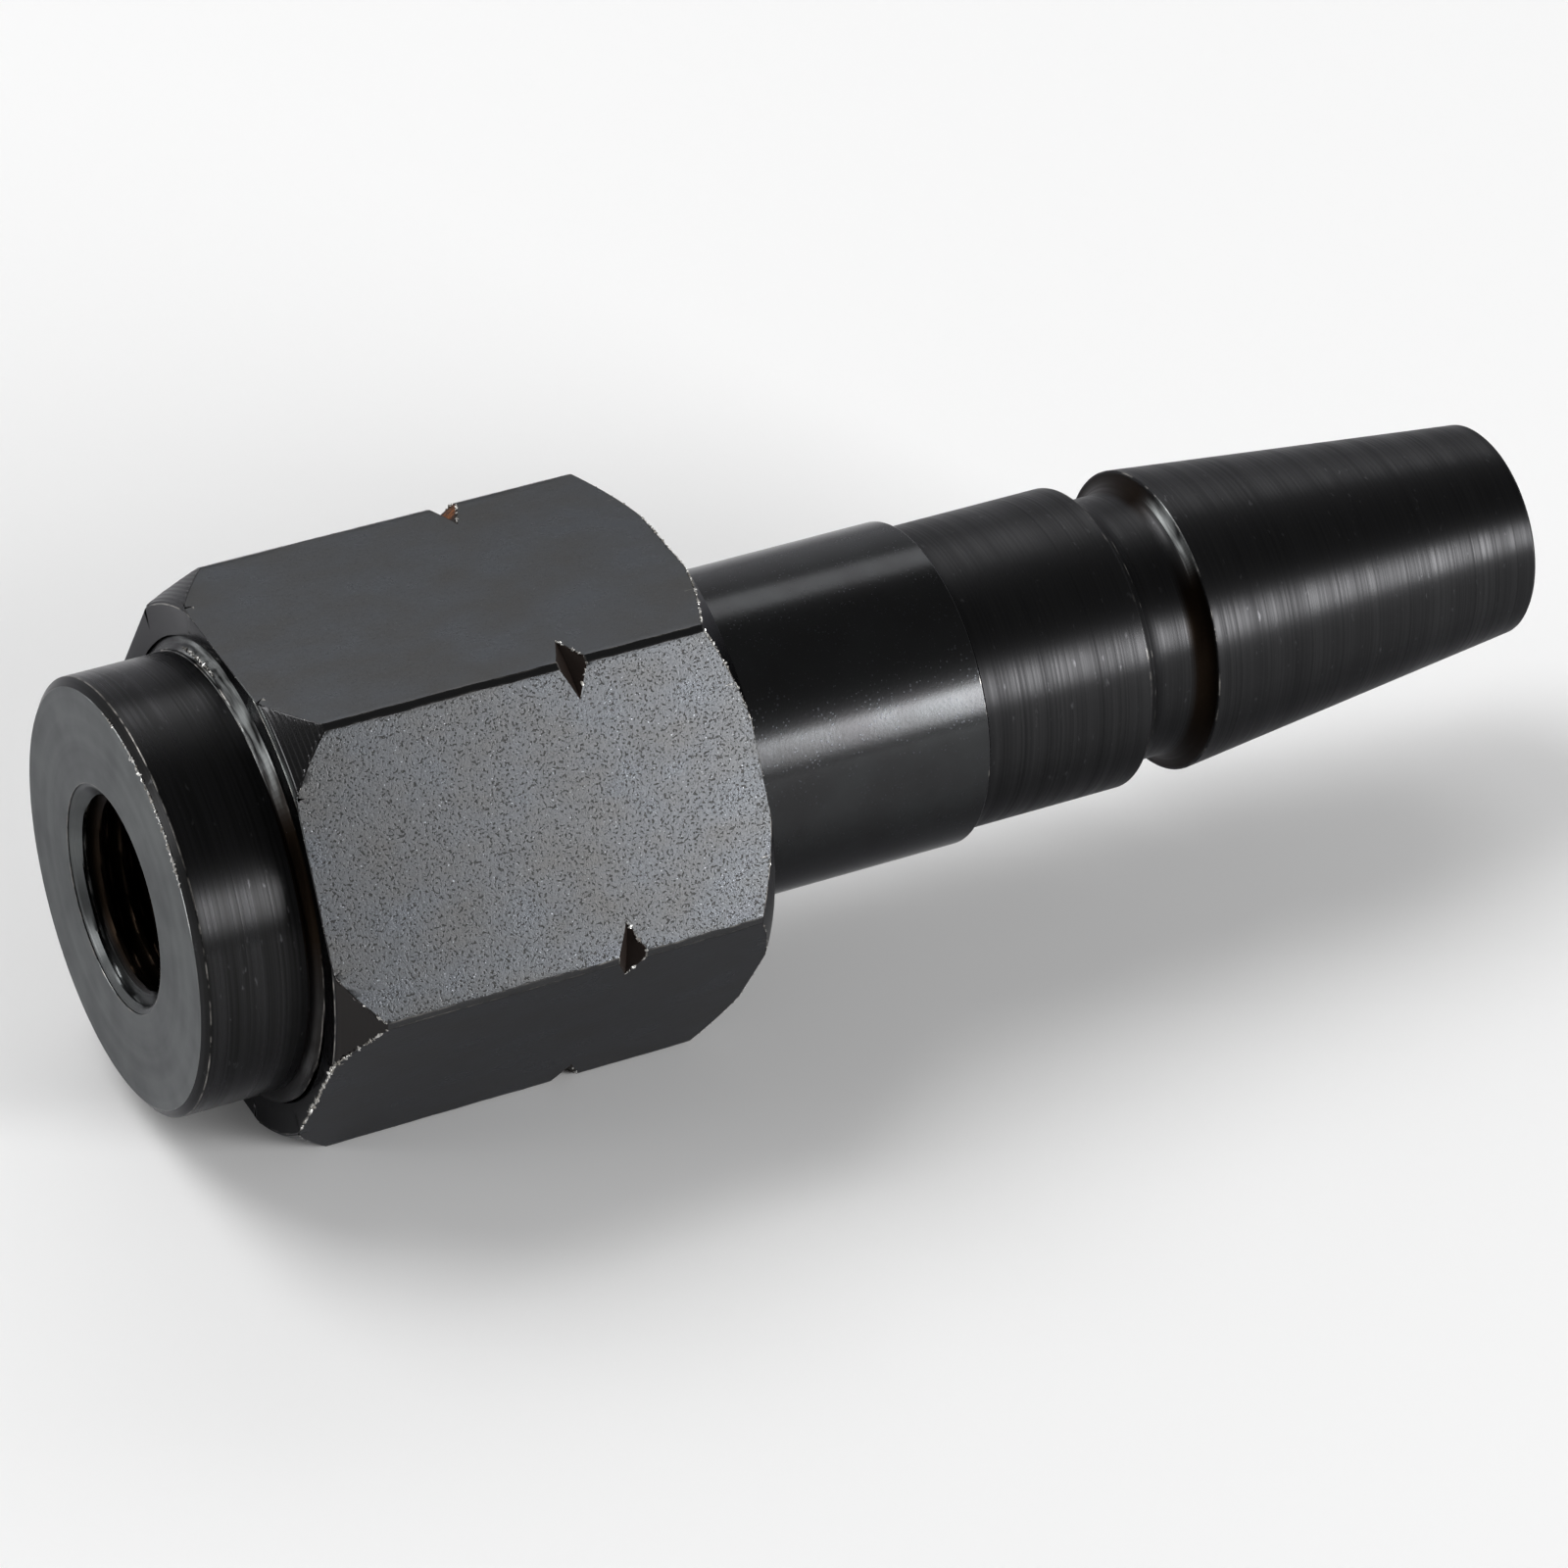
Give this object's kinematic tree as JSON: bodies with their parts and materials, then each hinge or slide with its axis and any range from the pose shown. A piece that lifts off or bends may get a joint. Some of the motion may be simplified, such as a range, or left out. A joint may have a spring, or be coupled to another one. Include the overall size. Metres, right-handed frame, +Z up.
{
  "type": "air line coupling",
  "caption": "Straight air line coupling: threaded tail piece, left-hand hexagon union nut with notched corners, and a quick-release plug with locking groove and cone.",
  "frame": {"origin": "on the coupling's axis, halfway between the tail piece's face and the plug's tip", "axes": "+X along the axis towards the plug's tip, +Z up, with one flat of the hexagon facing down and its corners at +Y and -Y"},
  "size_m": [0.0916, 0.0344, 0.03],
  "materials": {
    "tail_steel": "turned and black oxided",
    "nut_steel": "drawn hexagon bar, turned ends, black oxided",
    "plug_steel": "satin turned and black oxided",
    "seal_rubber": "matte nitrile rubber"
  },
  "bodies": {
    "tail": {"tail_piece": "tail_steel"},
    "seal": {"o_ring": "seal_rubber"},
    "plug": {"plug": "plug_steel"},
    "nut": {"union_nut": "nut_steel"}
  },
  "joints": [
    {"name": "nut_turn", "type": "hinge", "parent": "seal", "child": "nut", "pos_m": [-0.025, 0, 0], "axis": [-1, 0, 0], "range_deg": [0, 2700]},
    {"name": "union_travel", "type": "slide", "parent": "tail", "child": "seal", "axis": [1, 0, 0], "range_m": [0, 0.0113]},
    {"name": "plug_swivel", "type": "hinge", "parent": "seal", "child": "plug", "pos_m": [-0.02705, 0, 0], "axis": [1, 0, 0], "continuous": true}
  ],
  "couplings": [
    {"joint": "union_travel", "follows": "nut_turn", "m_per_rad": 0.00023873}
  ]
}
